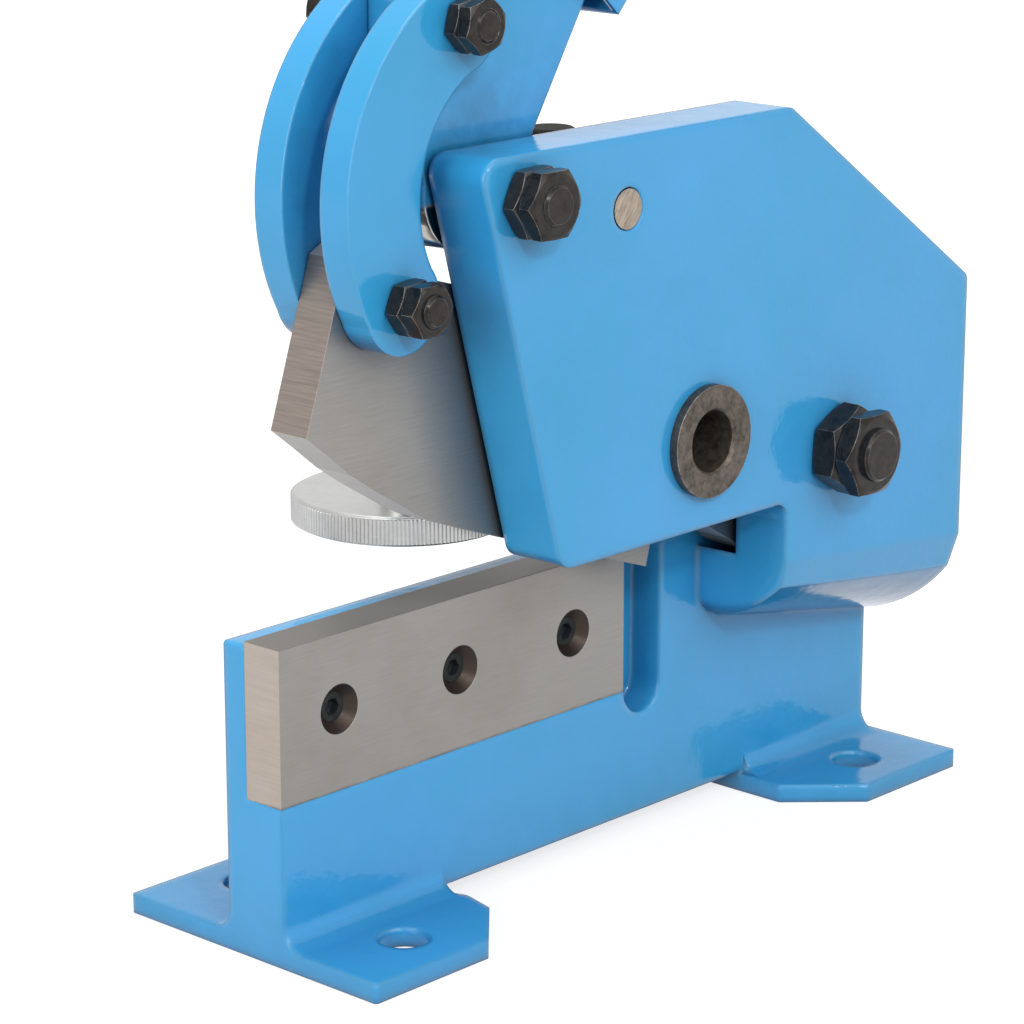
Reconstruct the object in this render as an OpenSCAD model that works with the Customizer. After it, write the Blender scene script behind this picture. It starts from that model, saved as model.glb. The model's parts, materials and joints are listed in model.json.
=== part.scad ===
// Bench lever shear with a 125 mm blade, an eccentric four-bar drive and a screw hold-down.
// Sizes are in millimetres and degrees. The blade runs along X, the bench is the plane Z = 0.
// Y = 0 of the machine drawing is the shear plane, X = 0 its left end; on_bench() then moves
// the origin to the middle of the four base holes.

/* [Base] */
// Thickness of the two feet
foot_t = 5; // [4:0.5:8]
// Spacing of the base holes along X
hole_span_x = 181.3; // [170:0.1:190]
// Spacing of the base holes along Y
hole_span_y = 55.6; // [50:0.1:60]
// Radius of the base holes
base_hole_r = 6.6; // [5:0.1:8]
// Distance from the foot edge to the hole centres, along Y
hole_inset = 15.9; // [12:0.1:20]
// Thickness of the standing web
web_t = 19.2; // [16:0.1:24]
// Length of the web and overall length of the casting body
web_len = 230.2; // [220:0.1:240]
// Height of the arch under the web
arch_h = 5.9; // [4:0.1:8]

/* [Lower blade] */
// Length of the lower blade
blade_len = 125; // [115:1:130]
// Height of the lower blade
blade_h = 40; // [30:1:45]
// Thickness of both blades
blade_t = 12; // [10:0.5:12.5]
// Height of the lower blade seat above the bench
seat_z = 41; // [35:0.5:45]
// How far the web top stays below the cutting edge
web_drop = 1.2; // [0.5:0.1:3]
// Width of the relief groove past the blade end
groove_w = 15; // [10:1:18]
// Depth of the relief groove
groove_d = 10; // [6:0.5:12]

/* [Cheeks] */
// Thickness of the front cheek
cheek_t = 18; // [14:0.5:20]
// Width of the slot between the two cheeks
slot_w = 14; // [13:0.1:16]
// Height of the throat over the bench
throat_z = 93.4; // [90:0.1:100]
// Top of the front cheek
cheek_top = 197.2; // [190:0.1:205]
// Top of the rear cheek
rear_top = 180; // [175:0.5:184]
// Lean of the cheek noses from the vertical
nose_lean = 15.5; // [10:0.5:20]
// Bore for round bar
bar_r = 8; // [5:0.5:9]

/* [Mechanism] */
// Running clearance beside moving plates
side_gap = 0.3; // [0.2:0.05:0.6]
// Radial clearance of the turning joints
run_gap = 0.05; // [0.02:0.01:0.1]
// Radial clearance of parts fixed to one another
fixed_gap = 0.02; // [0.01:0.01:0.1]
// Thickness of the drive links
link_t = 9.1; // [6:0.1:10]
// Half width of the drive links
link_half_w = 11.7; // [10:0.1:14]
// Half length of the travel slot in the moving blade
travel_half = 6.4; // [6:0.1:8]
// Shank radius of the link bolts
link_bolt_r = 4; // [3:0.5:5]
// Shank radius of the lever pivot
lever_bolt_r = 5; // [4:0.5:6]
// Shank radius of the blade pivot
blade_bolt_r = 7; // [6:0.5:9]

/* [Handle] */
// Outside width of the square socket
socket_w = 20; // [18:0.5:24]
// Wall of the square socket
socket_wall = 1.5; // [1:0.1:1.9]
// Length of the square socket
socket_len = 100; // [80:5:120]
// Lean of the handle from the vertical at rest
handle_lean = 43; // [35:1:50]
// Radius of the handle tube
handle_r = 8; // [6:0.5:8.4]
// Length of the handle tube
handle_len = 430; // [300:10:600]
// Length of the rubber grip
grip_len = 115; // [80:5:150]
// Radius of the rubber grip
grip_r = 12; // [10:0.5:15]

/* [Hold-down] */
// Radius of the knurled disc
disc_r = 28.9; // [24:0.1:30]
// Thickness of the knurled disc
disc_t = 7.7; // [5:0.1:10]
// Number of knurl teeth on the disc
disc_teeth = 170; // [90:5:200]
// Radius of the hold-down stud
stud_r = 6; // [4:0.5:8]
// Length of the hold-down stud above the disc
stud_len = 62; // [55:1:70]

/* [Hidden] */
$fn = 96;
over = 1;
paint = [0.35, 0.65, 0.84];
bright = [0.78, 0.78, 0.76];
ground_steel = [0.62, 0.60, 0.57];
black_steel = [0.16, 0.15, 0.14];
worn_steel = [0.32, 0.28, 0.26];
rubber_black = [0.08, 0.08, 0.09];

// Stations along Y, from the viewer to the back.
web_y = 0;
web_back = web_y + web_t;
cheek_back = -slot_w;
cheek_front = cheek_back - cheek_t;
plate_back = -side_gap;
plate_front = plate_back - blade_t;
plate_mid = (plate_back + plate_front) / 2;

// Feet in plan.
foot_front = cheek_front + 0.4;
foot_back = foot_front + hole_span_y + 2 * hole_inset;
left_hole_x = 25.7;
right_hole_x = left_hole_x + hole_span_x;
front_hole_y = foot_front + hole_inset;
back_hole_y = front_hole_y + hole_span_y;
base_cx = (left_hole_x + right_hole_x) / 2;
base_cy = (front_hole_y + back_hole_y) / 2;
left_foot_w = 57;
left_foot_toe = 39;
left_toe_back = 14.2;
left_foot_slant = 2.5;
left_foot_round = 4;
left_foot_nick = 1.6;
left_foot_nick_len = 3;
left_foot_bulge = 7.5;
right_foot_x = 175;
right_foot_toe = right_foot_x + 17;
right_toe_back = 17.7;
foot_end = web_len + 2.6;
foot_corner = 1;
cast_fillet = 6;
fillet_inset = 1.5;

// Pivot of the moving blade, as [x, z].
blade_pivot = [173.4, 104.7];

// Web and cheeks in elevation.
edge_z = seat_z + blade_h;
web_top = edge_z - web_drop;
throat_x = 153;
rear_throat_x = 150;
rear_throat_z = throat_z + 1.6;
slope_x = 151.3;
shoulder_z = 142.5;
nose_foot_x = 65;
nose_round = 5;
throat_round = 4.5;
corner_round = 3;
groove_r = groove_w / 2;
groove_z = 33.6;
slope_run = web_len - slope_x;
slope_drop = cheek_top - shoulder_z;
rear_slope_x = slope_x + slope_run * (cheek_top - rear_top) / slope_drop;
nose_top_x = nose_foot_x - (cheek_top - throat_z) * tan(nose_lean);
rear_nose_x = 109;
rear_nose_top_x = rear_nose_x - (rear_top - rear_throat_z) * tan(nose_lean);

// Root that joins the front cheek to the web under the blade slot: a barrel whose axis falls and
// nears the web towards the right end. Its left wall leans from the cheek to the web.
root_r = 49.8;
root_web_x = 155;
root_left = [root_web_x, 3.8, 106.7];
root_right = [229.5, 10.1, 91];
root_run = root_right - root_left;
root_yaw = atan2(root_run[1], root_run[0]);
root_dip = acos(root_run[2] / norm(root_run));
root_past = 15;
root_lean = atan2(root_web_x - throat_x, -cheek_front);
root_wall_top = 140;
root_corner = 8;
root_corner_r = 43.35;
root_belly_z = root_right[2] - root_r - over;
root_shelf_z = throat_z - throat_round - 1;
root_crease_cut = 1.6;
root_crease_reach = 8;
root_crease_x = [root_web_x, web_len];
root_crease_turn = [for (x = root_crease_x) acos((root_axis(x)[1] - cheek_front) / root_r)];
root_crease_z = [for (i = [0, 1]) root_axis(root_crease_x[i])[2] - root_r * sin(root_crease_turn[i])];
root_crease_tilt = (root_crease_turn[0] + root_crease_turn[1]) / 4;
root_crease_fall = atan2(root_crease_z[0] - root_crease_z[1], root_crease_x[1] - root_crease_x[0]);

// Slot for the heel of the moving blade.
slot_r = 34.8;
slot_ease = 0.2;
slot_end_x = blade_pivot[0] + slot_r - slot_ease;

// Pins, as [x, z].
lever_pivot = [52.4, 186.1];
link_top = [41.6, 227.7];
link_low = [21.6, 164.3];
link_mid_r = 44.5;
link_chord = link_low - link_top;
link_sag = sqrt(pow(link_mid_r, 2) - pow(norm(link_chord) / 2, 2));
link_centre = (link_top + link_low) / 2 + link_sag * [-link_chord[1], link_chord[0]] / norm(link_chord);
link_eye = 0.2;
link_front_back = plate_front - 0.2;
link_front_y = link_front_back - link_t;
link_rear_y = plate_back + side_gap;
bar_hole = [119.5, 116.2];
stop_pin_at = [88.4, 179.4];
stop_r = 5;
stop_mouth = 0.5;
stop_clear = 0.3;
travel_turn = 136.6;
travel_shift = 0.2;
travel_half_w = link_bolt_r + 0.55 + side_gap;

// Moving blade.
heel_r = 32;
blade_bush_r = 10;
back_slope = 0.3;
blade_back_z = 161.6;
blade_back_x = 56.75;
blade_back_from = blade_pivot[0] + 7;
blade_back_to = 36;
// Cutting edge from the tip to the end of the blade, in the open position.
blade_edge = [[-1.4, 135.3], [5.5, 129.9], [13.1, 123.7], [20.2, 118.9], [27.5, 114.5],
  [33.7, 110.7], [40, 107.2], [49.8, 103.4], [65.2, 97.9], [119.4, 79.2]];
// Relief between the cutting edge and the heel.
blade_relief = [[121, 85], [123.5, 94.5], [126.5, 97.5], [131, 97.3], [134.5, 94.2], [137, 90]];
blade_heel = [[141, 86.8], [153, 79.9]];
heel_floor_z = 60;
// Tail over the travel slot.
blade_tail = [[30, 175], [24, 178], [17, 178], [11.8, 175.2]];

// Lever plate.
lever_head_r = 14.5;
lever_bush_r = 7.5;
socket_at = [95, 230.5];
socket_in = socket_w / 2 - socket_wall;
tongue_low = 0.9;
tongue_high = socket_in - 0.1;
tongue_len = 40;
shoulder_out = 30;
// Nose that meets the stop pin from above.
stop_nose_z = stop_pin_at[1] + stop_r + stop_clear;
lever_nose = [[64, 177.5], [80, stop_nose_z], [96, stop_nose_z], [96, 190.5], [72.5, 191.5],
  [75.9, 198]];
// Left side of the lever, from the handle shoulder down to the pivot.
lever_back = [[55, 258], [42, 256], [33.5, 247], [32, 238], [32, 222], [38.2, 189.3], [45, 180]];
handle_start = tongue_len + 5;
handle_wall = 1.5;
weld_start = 0.8;
weld_len = 4;
cross_r = 3;
cross_at = [handle_start + 15, socket_len - 14];
grip_end = handle_start + handle_len;
grip_round = 2;
cap_t = 3;
cap_in = 10;

// Lower blade screws.
screw_xs = [20, 62.5, 105];
screw_z = 61.8;
screw_r = 3;
screw_sunk = 2.6;
key_af = 4;
key_depth = 2.4;
screw_mouth_r = 6.4;
screw_head_back = screw_mouth_r - screw_r - fixed_gap;

// Hex sizes: width across flats, height.
m14_af = 21;
m10_af = 16;
m8_af = 12;
m6_af = 10;
nut_corner = 0.94;
m14_nut_t = 7.9;
m14_lock_t = 5.6;
m10_nut_t = 4.8;
m8_top_nut_t = 4;
m8_low_nut_t = 4.9;
rear_nuts = 2;
rear_nut_pitch = m8_low_nut_t + fixed_gap;
m6_nut_t = 5;
thread_past = 0.9;
thread_past_m14 = 1.9;
bolt_point = 0.7;
m14_head_t = 8.8;
m10_head_t = 6.4;
m8_head_t = 5.3;
m6_head_t = 4;
upper_link_past = 0.5;
lower_link_past = 1.2;
washer_t = 1.4;
blade_washer_r = 15.5;
lever_washer_r = 10;

// Turn of the head, the nut and the locknut about each bolt.
blade_pivot_turns = [12, 26, 0];
lever_pivot_turns = [10, 3, 0];
link_upper_turns = [14, 14, 18];
link_lower_turns = [4, 6, 2];
rear_nut_turn = 9;
strap_bolt_turn = 17;

// Bush for round bar.
bar_bush_r = 10.5;
bar_flange_r = 14.5;
bar_flange_t = 2.5;
bar_mouth = 0.8;
bar_pass = 2;

// Hold-down and its bracket.
hold_at = [73.4, 30.3];
disc_z = 93.6;
disc_tooth = 0.35;
disc_edge = 0.6;
disc_root_r = disc_r - 2 * disc_tooth;
strap_t = 5.5;
strap_x0 = 92;
strap_x1 = 126;
strap_bolt_at = [106.2, 9.6];
strap_bolt_r = 4;
strap_bolt_depth = 24;
strap_bolt_spare = 2;
arm_z0 = 120;
arm_z1 = 138;
lug_r = 13;
lug_z0 = 122;
lug_z1 = 140;
hold_nut_af = 18;
hold_nut_t = 7;
strap_bolt_head_t = 7.5;

// Moves the machine drawing so that the middle of the base holes is the origin.
module on_bench() {
  translate([-base_cx, -base_cy, 0])
    children();
}

// Outline drawn in X and Z, standing between two stations along Y.
module upright(y_front, y_back) {
  translate([0, y_back, 0])
    rotate([90, 0, 0])
      linear_extrude(y_back - y_front)
        children();
}

// Round bar along Y at the point p = [x, z].
module round_y(p, r, y_front, y_back) {
  translate([p[0], y_back, p[1]])
    rotate([90, 0, 0])
      cylinder(r = r, h = y_back - y_front);
}

// Round bar along Y whose radius changes from the front to the back.
module cone_y(p, r_front, r_back, y_front, y_back) {
  translate([p[0], y_back, p[1]])
    rotate([90, 0, 0])
      cylinder(r1 = r_back, r2 = r_front, h = y_back - y_front);
}

// Point on the axis of the root barrel at the station x.
function root_axis(x) = root_left + root_run * (x - root_left[0]) / root_run[0];

function unit2(v) = v / norm(v);
function before(c, i) = c[(i + len(c) - 1) % len(c)];
function after(c, i) = c[(i + 1) % len(c)];
function xy(p) = [p[0], p[1]];
function arm_a(c, i) = unit2(xy(before(c, i)) - xy(c[i]));
function arm_b(c, i) = unit2(xy(after(c, i)) - xy(c[i]));
function half_turn(c, i) = acos(arm_a(c, i) * arm_b(c, i)) / 2;
function round_mid(c, i) = xy(c[i]) + unit2(arm_a(c, i) + arm_b(c, i)) * c[i][2] / sin(half_turn(c, i));
function turn_sign(c, i) = cross(arm_b(c, i), arm_a(c, i));
function cut_back(c, i) = c[i][2] / tan(half_turn(c, i));

// Closed outline given counter-clockwise as [x, y, corner radius].
module rounded(c) {
  difference() {
    union() {
      polygon([for (i = [0:len(c) - 1]) for (s = [0, 1])
        xy(c[i]) + (s == 0 ? arm_a(c, i) : arm_b(c, i)) * cut_back(c, i)]);
      for (i = [0:len(c) - 1])
        if (c[i][2] > 0 && turn_sign(c, i) > 0)
          translate(round_mid(c, i))
            circle(c[i][2]);
    }
    for (i = [0:len(c) - 1])
      if (c[i][2] > 0 && turn_sign(c, i) < 0)
        translate(round_mid(c, i))
          circle(c[i][2]);
  }
}

// Hexagon along +Z with both ends chamfered at the corners.
module hex_body(af, t) {
  corner_r = af / 2 / cos(30);
  flat_r = af / 2 * nut_corner;
  chamfer = (corner_r - flat_r) * tan(30);
  intersection() {
    cylinder(r = corner_r, h = t, $fn = 6);
    rotate_extrude()
      polygon([[0, 0], [flat_r, 0], [corner_r, chamfer], [corner_r, t - chamfer],
        [flat_r, t], [0, t]]);
  }
}

// Hexagon along Y at p, turned by turn degrees, from y_back towards the viewer.
module hex_y(p, af, t, y_back, turn) {
  translate([p[0], y_back, p[1]])
    rotate([90, 0, 0])
      rotate([0, 0, turn])
        hex_body(af, t);
}

// Nut on a bolt of radius r.
module nut_y(p, af, t, y_back, turn, r) {
  difference() {
    hex_y(p, af, t, y_back, turn);
    round_y(p, r + fixed_gap, y_back - t - over, y_back + over);
  }
}

// Bolt with its head at the back and a chamfered point towards the viewer.
module bolt_y(p, af, head_t, turn, r, y_head, y_end) {
  union() {
    hex_y(p, af, head_t, y_head + head_t, turn);
    round_y(p, r, y_end + bolt_point, y_head + over);
    cone_y(p, r - bolt_point, r, y_end, y_end + bolt_point);
  }
}

// Drops the handle parts along the leaning handle axis.
module on_handle() {
  translate([socket_at[0], plate_mid, socket_at[1]])
    rotate([0, handle_lean, 0])
      children();
}

// Point of the drawing at a across and l along the handle axis.
function handle_point(a, l) = [socket_at[0] + a * cos(handle_lean) + l * sin(handle_lean),
  socket_at[1] - a * sin(handle_lean) + l * cos(handle_lean)];

// Web and rear cheek in one outline.
module web_outline() {
  rounded([[0, 0, 0], [left_foot_w, 0, 0], [left_foot_w, arch_h, 0],
    [right_foot_x, arch_h, 0], [right_foot_x, 0, 0], [web_len, 0, 0],
    [web_len, shoulder_z, corner_round], [rear_slope_x, rear_top, corner_round],
    [rear_nose_top_x, rear_top, nose_round], [rear_nose_x, rear_throat_z, nose_round],
    [rear_throat_x, rear_throat_z, throat_round], [rear_throat_x, web_top, throat_round],
    [0, web_top, 1]]);
}

// Front cheek outline.
module cheek_outline() {
  rounded([[nose_foot_x, throat_z, nose_round], [throat_x, throat_z, throat_round],
    [throat_x, root_shelf_z, 0], [web_len, root_shelf_z, 0],
    [web_len, shoulder_z, corner_round], [slope_x, cheek_top, corner_round],
    [nose_top_x, cheek_top, nose_round]]);
}

// Barrel under the blade slot, cut to the sides of the casting.
module root_barrel() {
  intersection() {
    union() {
      translate(root_left)
        rotate([0, root_dip, root_yaw])
          translate([0, 0, -root_past])
            cylinder(r = root_r, h = norm(root_run) + 2 * root_past, $fn = 2 * $fn);
      translate([0, cheek_front - over, root_shelf_z])
        cube([web_len + over, 2 * over - cheek_front, root_wall_top]);
    }
    linear_extrude(root_wall_top)
      polygon([[throat_x, cheek_front], [web_len, cheek_front], [web_len, over],
        [root_web_x + over * tan(root_lean), over]]);
  }
}

// Flat that breaks the crease between the front face of the root and its belly.
module root_crease_flat() {
  translate([root_crease_x[0], cheek_front, root_crease_z[0]])
    rotate([root_crease_tilt, root_crease_fall, 0])
      translate([-root_crease_reach, -root_crease_reach, -1.5 * root_crease_reach])
        cube([root_crease_x[1] - root_crease_x[0] + 2 * root_crease_reach,
          root_crease_reach + root_crease_cut, 2.5 * root_crease_reach]);
}

// Ring that leaves a round edge between the left wall of the barrel and its belly.
module root_edge_ring() {
  translate([root_web_x, 0, root_left[2]])
    rotate([0, 90, -root_lean])
      rotate_extrude($fn = 2 * $fn)
        difference() {
          translate([root_corner_r, -over])
            square([root_r + root_corner - root_corner_r, root_corner + over]);
          translate([root_corner_r, root_corner])
            circle(root_corner);
        }
}

// The part of the ring that lies in front of the web and below the throat.
module root_edge_cut() {
  intersection() {
    root_edge_ring();
    translate([throat_x - over, cheek_front - over, root_belly_z])
      cube([2 * root_corner, over - cheek_front, root_shelf_z - over - root_belly_z]);
  }
}

// Room for the moving blade between the cheeks.
module blade_slot_outline() {
  translate(blade_pivot)
    circle(slot_r);
  translate([throat_x - over, blade_pivot[1]])
    square([slot_end_x - throat_x + over, cheek_top]);
}

// Plan outlines of the feet.
module left_foot_outline() {
  nick_x = left_foot_w - left_foot_nick;
  rounded([[0, foot_front, foot_corner], [left_foot_toe, foot_front, foot_corner],
    [left_foot_w - left_foot_slant, foot_front + left_toe_back, foot_corner],
    [left_foot_w, -left_foot_bulge, left_foot_round],
    [nick_x, -left_foot_nick_len, foot_corner], [nick_x, web_back + left_foot_nick_len, foot_corner],
    [left_foot_w, web_back + left_foot_bulge, left_foot_round],
    [left_foot_w - left_foot_slant, foot_back - left_toe_back, foot_corner],
    [left_foot_toe, foot_back, foot_corner], [0, foot_back, foot_corner]]);
}

module right_foot_outline() {
  rounded([[right_foot_toe, foot_front, foot_corner], [foot_end, foot_front, foot_corner],
    [foot_end, foot_back, foot_corner], [right_foot_toe, foot_back, foot_corner],
    [right_foot_x, foot_back - right_toe_back, foot_corner],
    [right_foot_x, foot_front + right_toe_back, foot_corner]]);
}

// Concave fillet along X, in the corner over y and z, opening towards sign.
module foot_fillet(x0, x1, y, sign) {
  translate([x0, y, foot_t])
    rotate([90, 0, 90])
      linear_extrude(x1 - x0)
        difference() {
          translate([sign < 0 ? -cast_fillet : -over, -over])
            square([cast_fillet + over, cast_fillet + over]);
          translate([sign * cast_fillet, cast_fillet])
            circle(cast_fillet);
        }
}

module frame_casting() {
  color(paint)
    on_bench()
      difference() {
        union() {
          upright(web_y, web_back)
            web_outline();
          upright(cheek_front, cheek_back)
            cheek_outline();
          root_barrel();
          linear_extrude(foot_t)
            left_foot_outline();
          linear_extrude(foot_t)
            right_foot_outline();
          foot_fillet(0, left_foot_w - left_foot_nick, web_y, -1);
          foot_fillet(0, left_foot_w - left_foot_nick, web_back, 1);
          foot_fillet(right_foot_x + fillet_inset, web_len, web_y, -1);
          foot_fillet(right_foot_x + fillet_inset, web_len, web_back, 1);
        }
        upright(cheek_back, web_y)
          blade_slot_outline();
        root_edge_cut();
        root_crease_flat();
        // Seat of the lower blade.
        translate([-over, web_y - over, seat_z])
          cube([blade_len + over, blade_t + over, edge_z]);
        // Relief groove past the end of the lower blade.
        upright(web_y - over, web_y + groove_d)
          union() {
            translate([blade_len + groove_r, groove_z + groove_r])
              circle(groove_r);
            translate([blade_len, groove_z + groove_r])
              square([groove_w, rear_throat_z - groove_z - 2 * groove_r]);
          }
        for (x = [left_hole_x, right_hole_x])
          for (y = [front_hole_y, back_hole_y])
            translate([x, y, -over])
              cylinder(r = base_hole_r, h = foot_t + 2 * over);
        for (x = screw_xs)
          round_y([x, screw_z], screw_r + fixed_gap, web_y, web_back + over);
        round_y(bar_hole, bar_bush_r + fixed_gap, cheek_front - over, cheek_back + over);
        round_y(bar_hole, bar_r + bar_pass, web_y - over, web_back + over);
        round_y(stop_pin_at, stop_r + fixed_gap, cheek_front - over, cheek_back + over);
        cone_y(stop_pin_at, stop_r + stop_mouth + over, stop_r, cheek_front - over,
          cheek_front + stop_mouth);
        round_y(lever_pivot, lever_bolt_r + fixed_gap, cheek_front - over, cheek_back + over);
        round_y(blade_pivot, blade_bolt_r + fixed_gap, cheek_front - over, web_back + over);
        translate([strap_bolt_at[0], strap_bolt_at[1], rear_top - strap_bolt_depth])
          cylinder(r = strap_bolt_r + fixed_gap, h = strap_bolt_depth + over);
      }
}

module lower_blade() {
  color(ground_steel)
    on_bench()
      difference() {
        translate([0, web_y, seat_z])
          cube([blade_len, blade_t, blade_h]);
        for (x = screw_xs) {
          round_y([x, screw_z], screw_r + fixed_gap, web_y - over, blade_t + over);
          cone_y([x, screw_z], screw_mouth_r + over, screw_r, web_y - over,
            web_y + screw_mouth_r - screw_r);
        }
      }
}

module lower_blade_screws() {
  color(black_steel)
    on_bench()
      for (x = screw_xs)
        difference() {
          union() {
            cone_y([x, screw_z], screw_mouth_r - screw_sunk - fixed_gap, screw_r,
              web_y + screw_sunk, web_y + screw_head_back);
            round_y([x, screw_z], screw_r, web_y + (screw_sunk + screw_head_back) / 2,
              web_back + m6_nut_t + thread_past);
          }
          hex_y([x, screw_z], key_af, key_depth + over, web_y + screw_sunk + key_depth, 0);
        }
}

module lower_blade_nuts() {
  color(black_steel)
    on_bench()
      for (x = screw_xs)
        nut_y([x, screw_z], m6_af, m6_nut_t, web_back + m6_nut_t, 0, screw_r);
}

module bar_bush() {
  color(worn_steel)
    on_bench()
      difference() {
        union() {
          round_y(bar_hole, bar_bush_r, cheek_front - over, cheek_back);
          round_y(bar_hole, bar_flange_r, cheek_front - bar_flange_t, cheek_front);
        }
        round_y(bar_hole, bar_r, cheek_front - bar_flange_t - over, cheek_back + over);
        cone_y(bar_hole, bar_r + bar_mouth + over, bar_r, cheek_front - bar_flange_t - over,
          cheek_front - bar_flange_t + bar_mouth);
      }
}

module stop_pin() {
  color(bright)
    on_bench()
      round_y(stop_pin_at, stop_r, cheek_front, plate_back - side_gap);
}

module blade_pivot_bolt() {
  color(black_steel)
    on_bench()
      bolt_y(blade_pivot, m14_af, m14_head_t, blade_pivot_turns[0], blade_bolt_r, web_back,
        cheek_front - m14_nut_t - m14_lock_t - thread_past_m14);
}

module blade_pivot_nut() {
  color(black_steel)
    on_bench()
      nut_y(blade_pivot, m14_af, m14_nut_t, cheek_front, blade_pivot_turns[1], blade_bolt_r);
}

module blade_pivot_locknut() {
  color(black_steel)
    on_bench()
      nut_y(blade_pivot, m14_af, m14_lock_t, cheek_front - m14_nut_t, blade_pivot_turns[2],
        blade_bolt_r);
}

module blade_pivot_washer() {
  color(bright)
    on_bench()
      difference() {
        round_y(blade_pivot, blade_washer_r, cheek_back, cheek_back + washer_t);
        round_y(blade_pivot, blade_bolt_r + fixed_gap, cheek_back - over, plate_back);
      }
}

module lever_pivot_bolt() {
  color(black_steel)
    on_bench()
      bolt_y(lever_pivot, m10_af, m10_head_t, lever_pivot_turns[0], lever_bolt_r, plate_back + side_gap,
        cheek_front - 2 * m10_nut_t - thread_past);
}

module lever_pivot_washer() {
  color(bright)
    on_bench()
      difference() {
        round_y(lever_pivot, lever_washer_r, cheek_back, cheek_back + washer_t);
        round_y(lever_pivot, lever_bolt_r + fixed_gap, cheek_back - over, plate_back);
      }
}

module lever_pivot_nut() {
  color(black_steel)
    on_bench()
      nut_y(lever_pivot, m10_af, m10_nut_t, cheek_front, lever_pivot_turns[1], lever_bolt_r);
}

module lever_pivot_locknut() {
  color(black_steel)
    on_bench()
      nut_y(lever_pivot, m10_af, m10_nut_t, cheek_front - m10_nut_t, lever_pivot_turns[2],
        lever_bolt_r);
}

// Point of the straight back of the moving blade.
function blade_back(x) = [x, blade_back_z - back_slope * (x - blade_back_x)];

// Moving blade outline in its open position, as seen by the viewer.
module upper_blade_outline() {
  difference() {
    union() {
      polygon(concat(blade_edge, blade_relief, blade_heel,
        [blade_pivot, blade_back(blade_back_from), blade_back(blade_back_to)], blade_tail));
      intersection() {
        translate(blade_pivot)
          circle(heel_r);
        polygon([blade_back(blade_back_from), blade_heel[0], [blade_heel[0][0], heel_floor_z],
          [web_len, heel_floor_z], blade_back(web_len)]);
      }
    }
    translate(blade_pivot)
      circle(blade_bush_r + fixed_gap);
    translate(bar_hole)
      circle(bar_r);
    translate(link_low)
      rotate(travel_turn)
        translate([0, travel_shift])
          union() {
            for (s = [-1, 1])
              translate([s * travel_half, 0])
                circle(travel_half_w);
            translate([-travel_half, -travel_half_w])
              square([2 * travel_half, 2 * travel_half_w]);
          }
  }
}

module upper_blade() {
  color(ground_steel)
    on_bench()
      upright(plate_front, plate_back)
        upper_blade_outline();
}

module blade_pivot_bush() {
  color(worn_steel)
    on_bench()
      difference() {
        round_y(blade_pivot, blade_bush_r, plate_front, plate_back);
        round_y(blade_pivot, blade_bolt_r + run_gap, plate_front - over, plate_back + over);
      }
}

module lever_outline() {
  difference() {
    union() {
      polygon(concat(lever_nose, [handle_point(tongue_low, 0), handle_point(tongue_low, tongue_len),
        handle_point(-tongue_high, tongue_len), handle_point(-tongue_high, 0),
        handle_point(-shoulder_out, 0)], lever_back));
      translate(lever_pivot)
        circle(lever_head_r);
    }
    translate(lever_pivot)
      circle(lever_bush_r + fixed_gap);
    translate(link_top)
      circle(link_bolt_r + run_gap);
  }
}

module lever_plate() {
  color(paint)
    on_bench()
      upright(plate_front, plate_back)
        lever_outline();
}

module lever_pivot_bush() {
  color(worn_steel)
    on_bench()
      difference() {
        round_y(lever_pivot, lever_bush_r, plate_front, plate_back);
        round_y(lever_pivot, lever_bolt_r + run_gap, plate_front - over, plate_back + over);
      }
}

module cross_holes(r) {
  for (l = cross_at)
    translate([0, 0, l])
      rotate([90, 0, 0])
        cylinder(r = r, h = 2 * socket_w, center = true);
}

module handle_socket() {
  color(paint)
    on_bench()
      on_handle()
        difference() {
          translate([-socket_w / 2, -socket_w / 2, 0])
            cube([socket_w, socket_w, socket_len]);
          translate([-socket_in, -socket_in, -over])
            cube([2 * socket_in, 2 * socket_in, socket_len + 2 * over]);
          cross_holes(cross_r + fixed_gap);
        }
}

// Weld fillings between the lever tongue and the socket walls.
module socket_welds() {
  color(paint)
    on_bench()
      on_handle()
        for (s = [0, 1])
          mirror([0, s, 0])
            translate([-tongue_high, blade_t / 2, weld_start])
              cube([tongue_high + tongue_low, socket_in - blade_t / 2, weld_len]);
}

module handle_tube() {
  color(bright)
    on_bench()
      on_handle()
        difference() {
          translate([0, 0, handle_start])
            cylinder(r = handle_r, h = handle_len);
          translate([0, 0, handle_start - over])
            cylinder(r = handle_r - handle_wall, h = handle_len + 2 * over);
          cross_holes(cross_r + fixed_gap);
        }
}

module handle_grip() {
  color(rubber_black)
    on_bench()
      on_handle()
        translate([0, 0, grip_end - grip_len])
          rotate_extrude()
            polygon([[handle_r + fixed_gap, 0], [grip_r - grip_round, 0], [grip_r, grip_round],
              [grip_r, grip_len - grip_round], [grip_r - grip_round, grip_len],
              [handle_r + fixed_gap, grip_len]]);
}

module handle_end_cap() {
  color(rubber_black)
    on_bench()
      on_handle()
        translate([0, 0, grip_end - cap_in])
          union() {
            cylinder(r = handle_r - handle_wall - fixed_gap, h = cap_in + over);
            translate([0, 0, cap_in])
              cylinder(r1 = grip_r - grip_round, r2 = grip_r - 2 * grip_round, h = cap_t);
          }
}

module handle_bolts() {
  color(black_steel)
    on_bench()
      on_handle()
        for (l = cross_at)
          translate([0, 0, l])
            rotate([90, 0, 0])
              translate([0, 0, -socket_w / 2])
                union() {
                  translate([0, 0, -m6_head_t])
                    hex_body(m6_af, m6_head_t);
                  translate([0, 0, -over])
                    cylinder(r = cross_r, h = socket_w + m6_nut_t + thread_past + over);
                }
}

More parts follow.
